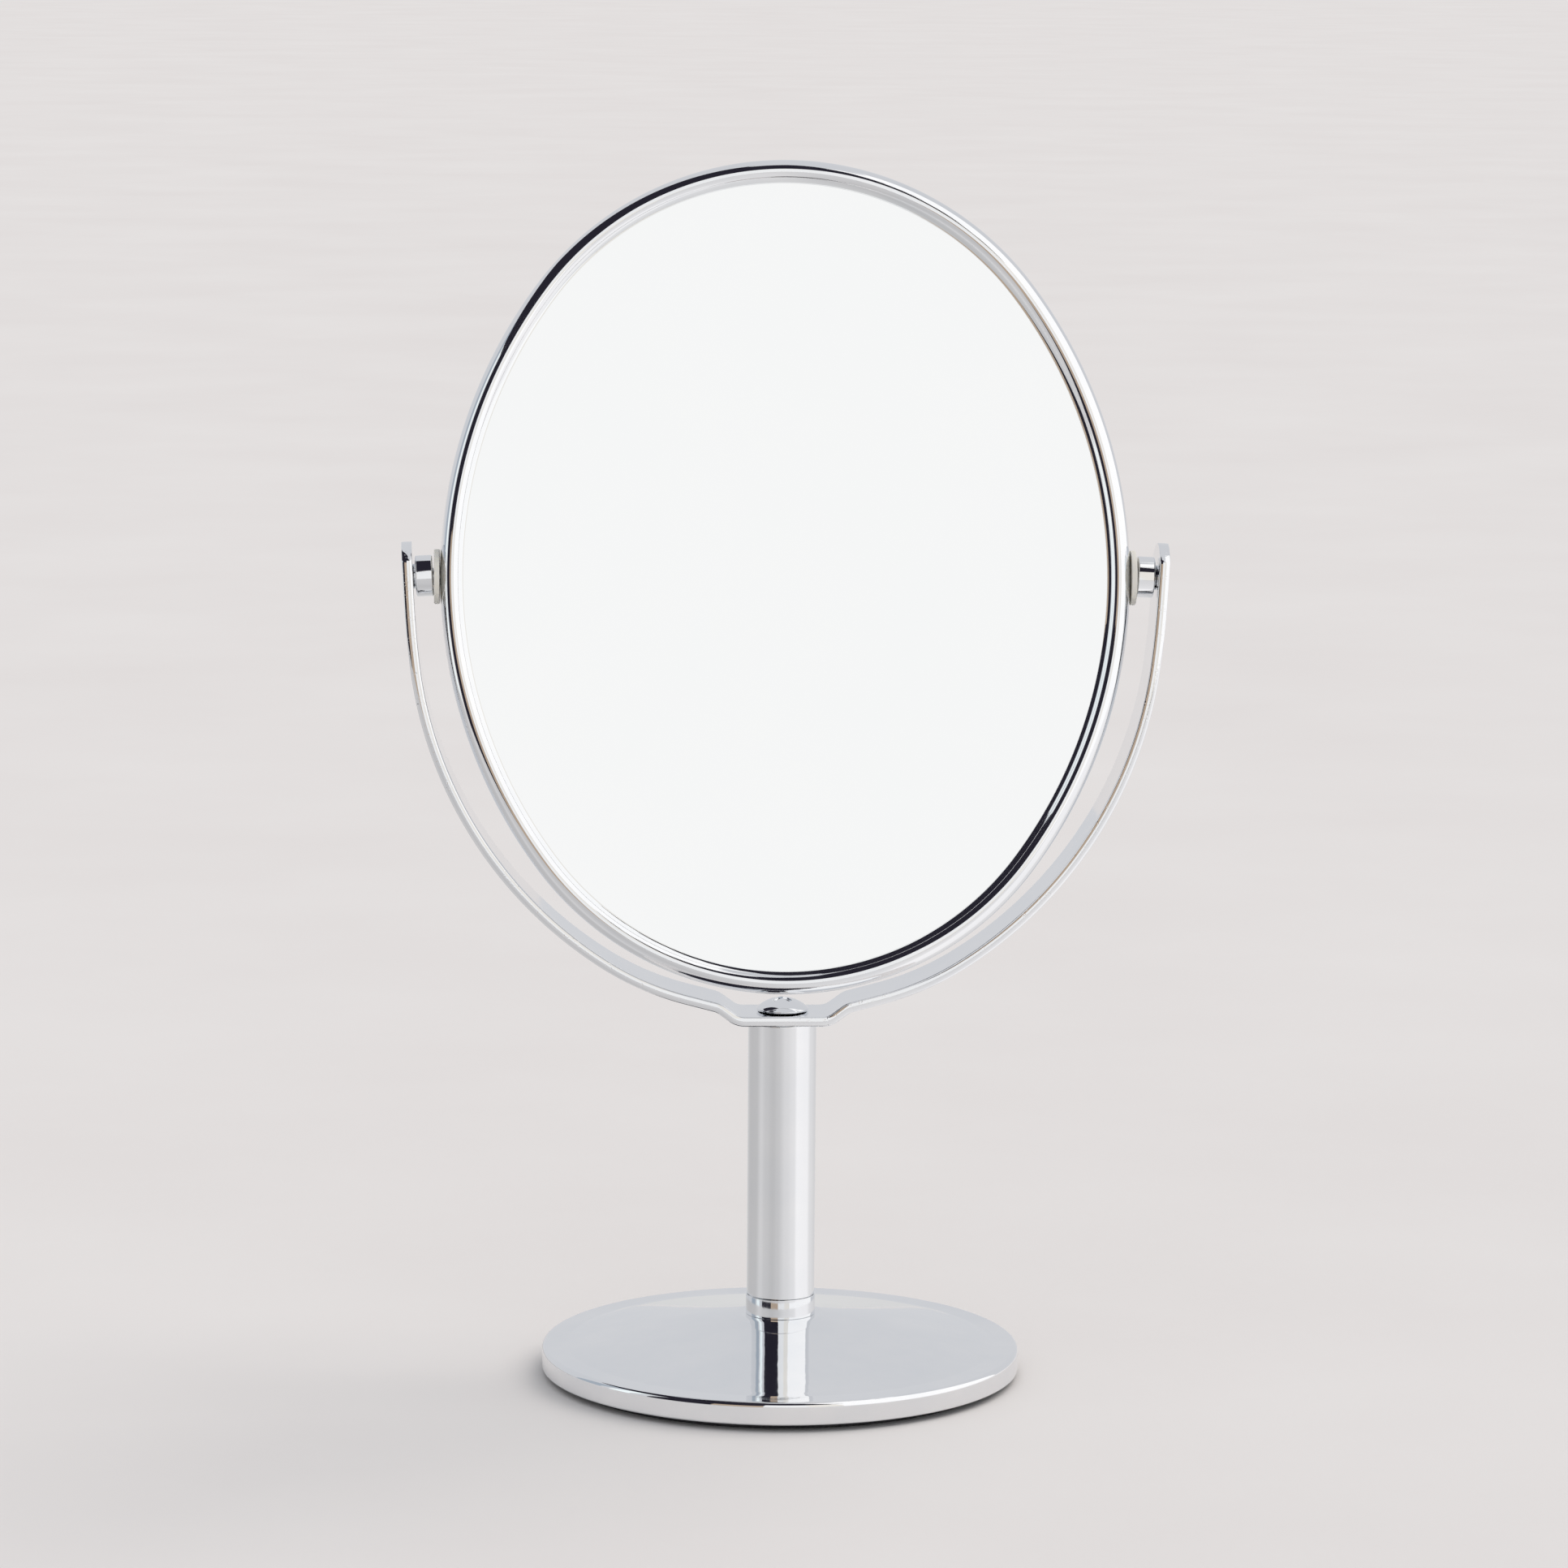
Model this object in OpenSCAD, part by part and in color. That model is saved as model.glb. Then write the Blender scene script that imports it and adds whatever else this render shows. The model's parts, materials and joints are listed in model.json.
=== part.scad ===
// Free-standing shaving mirror: an oval two-sided mirror tilts in a bent strip yoke,
// on a telescopic stem that slides and turns on a post in a weighted round base.
// Millimetres, +Z up, origin under the centre of the base, mirror facing -Y.

/* [Base] */
// Radius of the round base
base_r = 56.4; // [54:0.2:60]
// Height of the top of the rim above the table
rim_top = 7; // [6.6:0.1:7.4]
// Height of the lower edge of the rim above the table
rim_gap = 1.6; // [1.2:0.1:2]
// Height of the foot of the stem, at the top of the shallow cone
foot_z = 14.4; // [13.6:0.1:15]
// Sheet thickness of the base cover
shell_t = 1; // [0.8:0.1:1.2]

/* [Stem] */
// Outside radius of the outer tube
tube_r = 8; // [7.8:0.05:8.4]
// Wall thickness of the outer tube
tube_wall = 1; // [0.8:0.05:1.1]
// Outside radius of the inner tube
post_r = 6.35; // [6.2:0.05:6.4]
// Height of the collar at the foot of the stem
collar_h = 4.7; // [3:0.1:6]
// How far the stem extends
travel = 36; // [20:1:36]

/* [Yoke] */
// Width of the strip, front to back
strip_w = 16; // [14:0.5:18]
// Thickness of the strip
strip_t = 2.4; // [2:0.1:2.8]
// Height of the top of the strip where it crosses the stem
flat_top = 87; // [86:0.5:90]
// Height of the rounded arm tips above the pivot line
tip_h = 8.1; // [7:0.1:9]

/* [Mirror head] */
// Half width of the frame
oval_a = 80.1; // [79.6:0.1:80.3]
// Half height of the frame
oval_b = 96.8; // [94:0.2:97.4]
// Depth of the frame, front to back
frame_d = 13; // [12.6:0.2:14]
// Width of the half-round bead that shows around the glass
bead_w = 5.4; // [4.6:0.1:5.6]
// Thickness of each mirror
glass_t = 2; // [1.8:0.1:2.2]
// How far the top of the head leans back as stored, in degrees
lean = 10; // [0:1:15]

/* [Hidden] */
$fn = 96;

fit = 0.05;          // radial clearance of a running fit
eps = 0.01;          // extra length of a cutting tool
chrome = [0.80, 0.81, 0.83];
zinc = [0.62, 0.63, 0.65];
nylon = [0.80, 0.78, 0.70];

// Base
pad_t = 2;
pad_r = base_r - 3.4;
shoulder_r = 1.2;                     // rounding where the rim turns into the top
border_w = 5.7;                       // plain ring between the shoulder and the cone
hub_r = 10;                           // flat top of the cone, under the collar
weight_gap = 0.4;                     // air between the weight and the cover
bolt_r = 3;
bolt_head_r = 5;
bolt_head_h = 4;
bolt_l = 18;
lock_t = 1.4;
well_r = 7;                           // counterbore of the weight, for the bolt head
well_z = foot_z - shell_t - 3.4;      // roof of that counterbore

// Stem
collar_r = tube_r + 0.2;
part_line = 0.1;                      // joint line between the collar and the outer tube
tube_z = foot_z + collar_h + part_line;
tube_top = flat_top - strip_t;
bore_r = tube_r - tube_wall;
post_bore = post_r - 1;
lip_t = 0.6;                          // inward lip at the lower end of the outer tube
bush_h = 10;
stop_t = 1;
end_gap = 0.5;                        // air left before the stop ring meets the friction bush
post_top = tube_z + lip_t + bush_h + stop_t + 2 * fit + travel + end_gap;
plug_h = 9;
bush_top = min(post_top + 7, tube_top - plug_h - 1);
screw_r = 2.5;
screw_l = 10;
screw_head_r = 6.15;
screw_head_h = 3.3;

// Yoke: its centre line from the middle of the flat to the right-hand pivot.
// A row is [0, length] for a straight, or [radius, turn in degrees] for a bend.
end_lean = 3;                         // how far the arms lean outwards at the pivots
yoke_bends = [[0, 9], [5.2, 36.5], [0, 2.8], [5.2, -21.9], [0, 6.7], [66, 17.9], [97.5, 50.5],
    [220, 4], [0, 4.6]];
bend_step = 3;                        // degrees between the points along a bend

// Pivots
pivot_gap = 0.1;                      // between the frame's crest and the washer
washer_t = 1.25;
washer_r = 6.35;
barrel_r = 4.75;
barrel_l = 4;
neck_r = 2.9;
neck_l = 0.5;
shank_r = 2;
thread_l = 3;                         // how far the pivot screw enters the barrel
head_r = 3;
head_h = 1.2;
wave_t = 0.4;

// Mirror head, section of the channel: rho is measured outwards from the rim's outside
// The outline is a four-centre oval struck from a 3-4-5 triangle of unit k.
k = (oval_b - oval_a) / 2;
side_c = 4 * k;                       // how far the side arcs' centres lie across the middle
end_c = 3 * k;                        // how far the end arcs' centres lie from the middle
side_r = oval_a + side_c;
end_r = oval_b - end_c;
join = atan2(3, 4);                   // where a side arc hands over to an end arc
wall = 0.9;                           // wall of the channel on its inner side
crest_wall = 1.5;                     // wall on the outside, where the pivot screws pass
glass_edge = -3.6;                    // rho of the mirrors' edge, behind the channel's lips
board_t = 1;
stack = 2 * glass_t + board_t;
pack_out = -1.7;                      // rho of the outside of the edge packing

// ---- shapes shared by several parts ----

// Straight ring or disc about +Z
module ring(r_out, r_in, z0, z1) {
    translate([0, 0, z0]) difference() {
        cylinder(r = r_out, h = z1 - z0);
        if (r_in > 0) translate([0, 0, -eps]) cylinder(r = r_in, h = z1 - z0 + 2 * eps);
    }
}

// Points of an arc, from angle a0 to a1, about [cx, cy]
function arc(cx, cy, r, a0, a1, n = 8) =
    [for (i = [0:n]) [cx + r * cos(a0 + (a1 - a0) * i / n), cy + r * sin(a0 + (a1 - a0) * i / n)]];

// Outline of the four-centre oval, moved outwards by rho
function oval(rho) = concat(
    arc(-side_c, 0, side_r + rho, -join, join, 24),
    arc(0, end_c, end_r + rho, join, 180 - join, 24),
    arc(side_c, 0, side_r + rho, 180 - join, 180 + join, 24),
    arc(0, -end_c, end_r + rho, 180 + join, 360 - join, 24));

// Walk along the yoke's centre line: each point is [x, z, heading]
function steps(row) = row[0] == 0 ? [[row[1], 0]] :
    let (n = ceil(abs(row[1]) / bend_step))
    [for (i = [1:n]) [2 * row[0] * sin(abs(row[1]) / n / 2), row[1] / n]];
function walk(s, i = 0, x = 0, z = 0, h = 0) = i == len(s) ? [] :
    let (mid = h + s[i][1] / 2, x1 = x + s[i][0] * cos(mid), z1 = z + s[i][0] * sin(mid))
    concat([[x1, z1, h + s[i][1]]], walk(s, i + 1, x1, z1, h + s[i][1]));
half_path = walk([for (row = yoke_bends) each steps(row)]);
path_end = half_path[len(half_path) - 1];
pivot_x = path_end[0];
pivot_z = flat_top - strip_t / 2 + path_end[1];
tip_len = tip_h + 2;                  // straight end of the arm, before it is rounded

function edge(p, d) = [p[0] - d * sin(p[2]), flat_top - strip_t / 2 + p[1] + d * cos(p[2])];
arm = concat(half_path, [[path_end[0] + tip_len * cos(path_end[2]),
    path_end[1] + tip_len * sin(path_end[2]), path_end[2]]]);
upper = [for (p = arm) edge(p, strip_t / 2)];
lower = [for (p = arm) edge(p, -strip_t / 2)];
function flip(list) = [for (i = [len(list) - 1:-1:0]) list[i]];
function other_side(list) = [for (p = list) [-p[0], p[1]]];

// Pose of the head as stored
module head_pose() {
    translate([0, 0, pivot_z]) rotate([-lean, 0, 0]) children();
}

// Plate or ring of oval outline across the head, from y0 to y1
module oval_plate(rho, y0, y1) {
    translate([0, y1, 0]) rotate([90, 0, 0]) linear_extrude(y1 - y0) polygon(oval(rho));
}

// Sweep a section round one arc of the oval, about a centre, inside a wedge with its tip there;
// the section lies in rho and y, and the seam of the full turn is kept outside the wedge
module arc_sweep(centre, r, corner_a, corner_b, seam) {
    intersection() {
        translate([centre[0], centre[1], 0]) rotate([0, 0, seam])
            rotate_extrude($fn = 144) translate([r, 0]) children();
        translate([0, 0, -frame_d]) linear_extrude(2 * frame_d)
            polygon([centre, centre + corner_a, centre + corner_b]);
    }
}
wedge = 40;                           // size of those wedges, beyond the frame
module oval_sweep() {
    rotate([90, 0, 0]) {
        for (s = [-1, 1]) {
            arc_sweep([-s * side_c, 0], side_r, wedge * [4 * s, 3], wedge * [4 * s, -3], 90) children();
            arc_sweep([0, s * end_c], end_r, wedge * [4, 3 * s], wedge * [-4, 3 * s], 0) children();
        }
    }
}

// Put a part made about +X, with its foot at the pivot, on the left or the right side
module on_side(s) {
    translate([0, 0, pivot_z]) mirror([s < 0 ? 1 : 0, 0, 0]) children();
}
module along_x(x0, x1, r) {
    translate([x0, 0, 0]) rotate([0, 90, 0]) cylinder(r = r, h = x1 - x0);
}

// ---- base ----

// Upper outline of the cover, from the rim in to the hub, lowered by d
cone_r0 = base_r - shoulder_r - border_w;
function cover_top(d) = concat(
    arc(base_r - shoulder_r, rim_top - shoulder_r, shoulder_r - d, 0, 90),
    [[cone_r0, rim_top + 0.2 - d]],
    [for (i = [1:12]) let (t = i / 12, r = cone_r0 + (hub_r - cone_r0) * t)
        [r, rim_top + 0.2 - d + (foot_z - rim_top - 0.2) * (0.92 * t + 0.08 * pow(t, 3))]],
    [[0, foot_z - d]]);

module base_pad() {
    color([0.10, 0.10, 0.11]) ring(pad_r, bolt_head_r + 1, 0, pad_t);
}
module base_shell() {
    color(chrome) difference() {
        rotate_extrude() polygon(concat(
            [[base_r - shell_t, rim_gap], [base_r, rim_gap]],
            cover_top(0), flip(cover_top(shell_t))));
        translate([0, 0, foot_z - 2 * shell_t]) cylinder(r = bolt_r + 0.3, h = 3 * shell_t);
    }
}
module base_weight() {
    color([0.22, 0.22, 0.23]) difference() {
        rotate_extrude() polygon(concat(
            [[0, pad_t], [pad_r, pad_t], [pad_r, rim_top - shell_t - 1.5]],
            [for (p = cover_top(shell_t + weight_gap)) if (p[0] < pad_r - 2 && p[0] > hub_r) p],
            [[hub_r, foot_z - shell_t], [0, foot_z - shell_t]]));
        translate([0, 0, -eps]) cylinder(r = bolt_r + 0.3, h = foot_z);
        translate([0, 0, pad_t - eps]) cylinder(r = well_r, h = well_z - pad_t + eps);
    }
}
module base_bolt() {
    head_top = well_z - lock_t;
    color(zinc) difference() {
        union() {
            translate([0, 0, head_top - bolt_head_h]) cylinder(r = bolt_head_r, h = bolt_head_h);
            translate([0, 0, head_top - eps]) cylinder(r = bolt_r, h = bolt_l + eps);
        }
        translate([0, 0, head_top - bolt_head_h - eps]) cylinder(r = 2.9, h = 2.5, $fn = 6);
    }
}
module base_lock_washer() {
    color(zinc) difference() {
        ring(5.4, bolt_r + 0.1, well_z - lock_t, well_z);
        translate([2, -0.4, well_z - lock_t - eps]) cube([5, 0.8, lock_t + 2 * eps]);
    }
}
module foot_plug() {
    color(zinc) difference() {
        ring(post_bore, 0, foot_z, foot_z + 14);
        translate([0, 0, foot_z - eps]) cylinder(r = bolt_r, h = 13);
    }
}

// ---- stem ----

module inner_tube() {
    color(chrome) ring(post_r, post_bore, foot_z, post_top);
}
module foot_collar() {
    color(chrome) rotate_extrude() polygon([[post_r, foot_z], [collar_r - 0.3, foot_z],
        [collar_r, foot_z + 0.3], [collar_r, foot_z + collar_h - 0.25],
        [collar_r - 0.25, foot_z + collar_h], [post_r, foot_z + collar_h]]);
}
// Split bush that stands on the post and rubs in the outer tube
module friction_bush() {
    color(nylon) difference() {
        union() {
            ring(bore_r - fit, 0, post_top, bush_top);
            ring(post_bore - fit, 0, post_top - 8, post_top + eps);
        }
        translate([0, 0, post_top - 8 - eps]) cylinder(r = 3.2, h = bush_top - post_top + 8 + 2 * eps);
        translate([-bore_r, -0.6, post_top + 1]) cube([2 * bore_r, 1.2, bush_top - post_top]);
    }
}
module guide_bush() {
    z0 = tube_z + lip_t + fit;
    color(nylon) ring(bore_r - fit, post_r + fit, z0, z0 + bush_h);
}
module outer_tube() {
    color(chrome) union() {
        ring(tube_r, bore_r, tube_z, tube_top);
        ring(bore_r + eps, post_r + 0.25, tube_z, tube_z + lip_t);
    }
}
module stop_ring() {
    z0 = tube_z + lip_t + bush_h + 2 * fit;
    color(zinc) ring(bore_r, post_r + 0.25, z0, z0 + stop_t);
}
module top_plug() {
    color(zinc) ring(bore_r, screw_r, tube_top - plug_h, tube_top);
}

// ---- yoke ----

module yoke() {
    color(chrome) difference() {
        translate([0, strip_w / 2, 0]) rotate([90, 0, 0]) linear_extrude(strip_w)
            polygon(concat(flip(other_side(lower)), lower, flip(upper), other_side(upper)));
        // rounded tips
        translate([0, 0, pivot_z]) difference() {
            translate([-pivot_x - 10, -strip_w, 3]) cube([2 * pivot_x + 20, 2 * strip_w, 20]);
            tip_r = (pow(strip_w / 2, 2) + pow(tip_h * 0.42, 2)) / (0.84 * tip_h);
            translate([0, 0, tip_h - tip_r]) along_x(-pivot_x - 20, pivot_x + 20, tip_r);
        }
        translate([0, 0, tube_top - 1]) cylinder(r = screw_r + 0.1, h = strip_t + 2);
        for (s = [-1, 1]) on_side(s) arm_frame() along_x(-strip_t, strip_t, shank_r);
    }
}
module yoke_screw() {
    dome_r = (pow(screw_head_r, 2) + pow(screw_head_h, 2)) / (2 * screw_head_h);
    color(chrome) difference() {
        union() {
            intersection() {
                translate([0, 0, flat_top + screw_head_h - dome_r]) sphere(r = dome_r);
                ring(screw_head_r + 1, 0, flat_top, flat_top + screw_head_h + 1);
            }
            ring(screw_r, 0, flat_top - screw_l, flat_top + eps);
        }
        for (turn = [45, 135]) translate([0, 0, flat_top + screw_head_h - 1.1]) rotate([0, 0, turn])
            cube([6.4, 1.3, 2.4], center = true);
    }
}

// ---- pivots ----

// Frame of the arm at the pivot: its centre line is at x = 0 and it leans outwards
module arm_frame() {
    translate([pivot_x, 0, 0]) rotate([0, end_lean, 0]) children();
}
barrel_x0 = -strip_t / 2 - neck_l - barrel_l;
screw_x1 = oval_a + pivot_gap + washer_t + 0.5 + thread_l;

// Chrome barrel, its neck and the rivet tail that fills the hole in the arm
module pivot_barrel(s) {
    color(chrome) on_side(s) difference() {
        arm_frame() rotate([0, 90, 0]) rotate_extrude() polygon([
            [0, barrel_x0], [barrel_r - 0.3, barrel_x0], [barrel_r, barrel_x0 + 0.3],
            [barrel_r, barrel_x0 + barrel_l - 0.3], [barrel_r - 0.3, barrel_x0 + barrel_l],
            [neck_r, barrel_x0 + barrel_l], [neck_r, -strip_t / 2], [shank_r, -strip_t / 2],
            [shank_r, strip_t / 2], [0, strip_t / 2]]);
        along_x(oval_a, screw_x1 + 0.2, shank_r + fit);
    }
}
module pivot_washer(s) {
    x0 = oval_a + pivot_gap;
    color(nylon) on_side(s) difference() {
        along_x(x0, x0 + washer_t, washer_r);
        along_x(x0 - 1, x0 + washer_t + 1, shank_r + fit);
    }
}
module wave_washer(s) {
    x1 = oval_a - crest_wall - fit;
    color(zinc) on_side(s) difference() {
        along_x(x1 - wave_t, x1, head_r);
        along_x(x1 - 1, x1 + 1, shank_r + fit);
    }
}
module pivot_screw(s) {
    x0 = oval_a - crest_wall - 2 * fit - wave_t;
    color(zinc) on_side(s) difference() {
        union() {
            along_x(x0 - head_h, x0, head_r);
            along_x(x0 - eps, screw_x1, shank_r);
        }
        translate([x0 - head_h - eps, 0, 0]) rotate([0, 90, 0]) cylinder(r = 1.4, h = 0.8, $fn = 6);
    }
}

// ---- mirror head ----

// Flat band outside, half-round beads in front and behind, hollow between its walls
module frame_section() {
    bead_y = (frame_d - bead_w) / 2;
    room = (bead_w - wall - crest_wall) / 2;
    lip_y = stack / 2 + fit;
    difference() {
        union() {
            translate([-bead_w, -bead_y]) square([bead_w, 2 * bead_y]);
            for (s = [-1, 1]) translate([-bead_w / 2, s * bead_y]) circle(r = bead_w / 2);
        }
        translate([-crest_wall - 2 * room, -bead_y]) square([2 * room, 2 * bead_y]);
        for (s = [-1, 1]) translate([-crest_wall - room, s * bead_y]) circle(r = room);
        translate([-bead_w - 1, -lip_y]) square([1 + bead_w - crest_wall - room, 2 * lip_y]);
    }
}
module frame_ring() {
    color(chrome) head_pose() difference() {
        oval_sweep() frame_section();
        for (s = [-1, 1]) along_x(s < 0 ? -oval_a - 1 : oval_a - 4, s < 0 ? 4 - oval_a : oval_a + 1,
            shank_r + 2 * fit);
    }
}
module front_mirror() {
    color([0.92, 0.94, 0.95]) head_pose() oval_plate(glass_edge, -stack / 2, -board_t / 2);
}
module rear_mirror() {
    color([0.92, 0.94, 0.95]) head_pose() oval_plate(glass_edge, board_t / 2, stack / 2);
}
module backing_board() {
    color([0.45, 0.36, 0.26]) head_pose() oval_plate(glass_edge - 1, -board_t / 2, board_t / 2);
}
// Two soft strips, above and below the pivots
module edge_packing() {
    color([0.16, 0.16, 0.17]) head_pose() difference() {
        oval_plate(pack_out, -2.4, 2.4);
        oval_plate(glass_edge, -4, 4);
        translate([-oval_a - 5, -5, -9]) cube([2 * oval_a + 10, 10, 18]);
    }
}

base_pad();
base_shell();
base_weight();
base_bolt();
base_lock_washer();
foot_plug();
inner_tube();
foot_collar();
friction_bush();
guide_bush();
outer_tube();
stop_ring();
top_plug();
yoke();
yoke_screw();
pivot_barrel(-1);  // left_pivot_barrel
pivot_barrel(1);  // right_pivot_barrel
pivot_washer(-1);  // left_pivot_washer
pivot_washer(1);  // right_pivot_washer
pivot_screw(-1);  // left_pivot_screw
pivot_screw(1);  // right_pivot_screw
wave_washer(-1);  // left_wave_washer
wave_washer(1);  // right_wave_washer
frame_ring();
front_mirror();
rear_mirror();
backing_board();
edge_packing();
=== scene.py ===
"""The looks of the shaving mirror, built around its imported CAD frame. Metres, +Z up, mirror facing -Y."""
import json
import math

import bmesh
import bpy
from mathutils import Matrix, Vector

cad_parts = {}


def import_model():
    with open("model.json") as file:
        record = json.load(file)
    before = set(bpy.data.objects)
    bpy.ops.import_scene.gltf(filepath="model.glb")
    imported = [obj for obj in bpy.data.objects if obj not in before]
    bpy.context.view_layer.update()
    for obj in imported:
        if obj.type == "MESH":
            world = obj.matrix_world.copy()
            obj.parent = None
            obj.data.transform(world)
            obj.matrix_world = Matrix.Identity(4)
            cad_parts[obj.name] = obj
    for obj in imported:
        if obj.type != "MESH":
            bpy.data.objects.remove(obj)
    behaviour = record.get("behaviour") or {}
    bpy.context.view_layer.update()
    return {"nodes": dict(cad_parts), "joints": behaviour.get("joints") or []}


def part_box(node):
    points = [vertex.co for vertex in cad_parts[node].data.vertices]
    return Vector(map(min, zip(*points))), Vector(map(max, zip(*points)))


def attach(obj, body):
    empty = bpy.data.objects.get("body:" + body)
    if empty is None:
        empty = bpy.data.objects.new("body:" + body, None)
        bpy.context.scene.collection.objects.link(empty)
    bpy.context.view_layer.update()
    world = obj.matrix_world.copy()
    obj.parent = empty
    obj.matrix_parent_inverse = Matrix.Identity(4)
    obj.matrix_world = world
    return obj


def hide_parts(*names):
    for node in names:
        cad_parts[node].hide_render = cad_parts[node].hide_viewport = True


MM = 0.001

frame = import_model()


# ---- sizes read from the frame ----

def low(node):
    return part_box(node)[0]


def high(node):
    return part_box(node)[1]


base_r = high("base_shell").x
pad_r = high("base_pad").x
pad_top = high("base_pad").z
rim_gap = low("base_shell").z
foot_z = high("base_shell").z
collar_r = high("foot_collar").x
collar_top = high("foot_collar").z
tube_r = high("outer_tube").x
tube_z = low("outer_tube").z
tube_top = high("outer_tube").z
post_r = high("inner_tube").x
post_top = high("inner_tube").z
screw_r = high("yoke_screw").x
screw_top = high("yoke_screw").z
screw_low = low("yoke_screw").z
strip_w = high("yoke").y - low("yoke").y
pivot_z = next(j["pos_m"][2] for j in frame["joints"] if j["name"] == "mirror_tilt")
yoke_top = high("yoke").z
oval_a = high("frame_ring").x
washer_r = (high("right_pivot_washer").z - low("right_pivot_washer").z) / 2
washer_x = (low("right_pivot_washer").x, high("right_pivot_washer").x)

# Sizes of the design that a box doesn't give: the base cover
SHELL_T = 1.0 * MM
ROOT_HOLE = 3.3 * MM
SHOULDER_R = 1.2 * MM
RIM_TOP = 7.0 * MM
BORDER_W = 5.7 * MM           # plain border inside the shoulder
CONE_STEP = 0.2 * MM          # rise from the border to the foot of the cone
HUB_R = 10.0 * MM             # flat middle of the cover
BOLT_HOLE = 6.0 * MM          # radius of the pad's hole

# The tubes, the screw and the yoke's strip
TUBE_WALL = 1.0 * MM
LIP_T = 0.6 * MM
SCREW_SHANK = 2.5 * MM
STRIP_T = 2.4 * MM

# The pivots
ARM_LEAN = math.radians(3)
BARREL_R = 4.75 * MM
BARREL_L = 4.0 * MM
NECK_R = 2.9 * MM
NECK_L = 0.5 * MM
SHANK_R = 2.0 * MM
PIVOT_BORE = 2.05 * MM

# The mirror head
OVAL_B = 96.8 * MM
LEAN = math.radians(10)
FRAME_D = 13.0 * MM
BEAD_W = 5.4 * MM
BEAD_H = 4.2 * MM             # height of a bead's half-oval crown
WALL = 0.9 * MM
CREST_WALL = 1.5 * MM
GLASS_EDGE = -3.6 * MM
GLASS_Y = 2.5 * MM            # outer face of each mirror, from the middle of the head
BOARD_Y = 0.5 * MM

yoke_flat = tube_top + STRIP_T
yoke_mid = tube_top + STRIP_T / 2

# The yoke's centre line from its middle to the pivot: (0, length) or (radius, turn in degrees)
YOKE_BENDS = [(0, 9), (5.2, 36.5), (0, 2.8), (5.2, -21.9), (0, 6.7),
              (66, 17.9), (97.5, 50.5), (220, 4), (0, 4.6)]


# ---- mesh helpers ----

def fillet(corners, steps=6):
    """A closed outline whose corners (x, y, radius) are rounded."""
    n = len(corners)
    points = []
    for i, (x, y, r) in enumerate(corners):
        here = Vector((x, y))
        if r <= 0:
            points.append(here)
            continue
        to_a = (Vector(corners[i - 1][:2]) - here).normalized()
        to_b = (Vector(corners[(i + 1) % n][:2]) - here).normalized()
        half = to_a.angle(to_b) / 2
        if half > math.radians(89.5):
            points.append(here)
            continue
        centre = here + (to_a + to_b).normalized() * (r / math.sin(half))
        start = here + to_a * (r / math.tan(half)) - centre
        sweep = start.angle_signed(here + to_b * (r / math.tan(half)) - centre)
        for k in range(steps + 1):
            points.append(centre + Matrix.Rotation(-sweep * k / steps, 2) @ start)
    return [(p.x, p.y) for p in points]


def arc(cx, cy, r, a0, a1, steps):
    """Points of an arc, angles in degrees."""
    turns = [math.radians(a0 + (a1 - a0) * i / steps) for i in range(steps + 1)]
    return [(cx + r * math.cos(a), cy + r * math.sin(a)) for a in turns]


def piece(name, verts, faces, material, body, stands_for, slot, place=None):
    """A smooth mesh object that rides on a body and replaces CAD nodes."""
    mesh = bpy.data.meshes.new(name)
    mesh.from_pydata([tuple(v) for v in verts], [], faces)
    if place is not None:
        mesh.transform(place)
    mesh.validate()
    mesh.update()
    obj = bpy.data.objects.new(name, mesh)
    bpy.context.scene.collection.objects.link(obj)
    for polygon in mesh.polygons:
        polygon.use_smooth = True
    for m in material if isinstance(material, (list, tuple)) else [material]:
        mesh.materials.append(m)
    normals = obj.modifiers.new("normals", "WEIGHTED_NORMAL")
    normals.mode = "FACE_AREA"
    normals.weight = 100
    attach(obj, body)
    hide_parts(*stands_for)
    return obj


def grid_faces(rings, count, wrap_rings, wrap_count=True):
    """Quads between neighbouring rings of count points."""
    faces = []
    for i in range(rings if wrap_rings else rings - 1):
        a, b = i * count, (i + 1) % rings * count
        for k in range(count if wrap_count else count - 1):
            k1 = (k + 1) % count
            faces.append((a + k, a + k1, b + k1, b + k))
    return faces


def lathe(name, profile, material, body, segments=192, closed=True, **how):
    """A profile of (radius, height) turned about +Z; closed joins its ends, else they lie on the axis."""
    verts = []
    for r, z in profile:
        for k in range(segments):
            a = 2 * math.pi * k / segments
            verts.append((r * math.cos(a), r * math.sin(a), z))
    if closed:
        faces = grid_faces(len(profile), segments, True)
    else:
        faces = grid_faces(len(profile) - 2, segments, False)
        inner = verts[segments:-segments]
        bottom, top = len(inner), len(inner) + 1
        last = len(inner) - segments
        verts = inner + [(0, 0, profile[0][1]), (0, 0, profile[-1][1])]
        for k in range(segments):
            k1 = (k + 1) % segments
            faces.append((bottom, k1, k))
            faces.append((top, last + k, last + k1))
    obj = piece(name, verts, faces, material, body, **how)
    outward(obj)
    return obj


def outward(obj):
    """Turns the faces of a closed mesh to point outwards."""
    bm = bmesh.new()
    bm.from_mesh(obj.data)
    bmesh.ops.recalc_face_normals(bm, faces=bm.faces)
    bm.to_mesh(obj.data)
    bm.free()


# ---- materials ----

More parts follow.
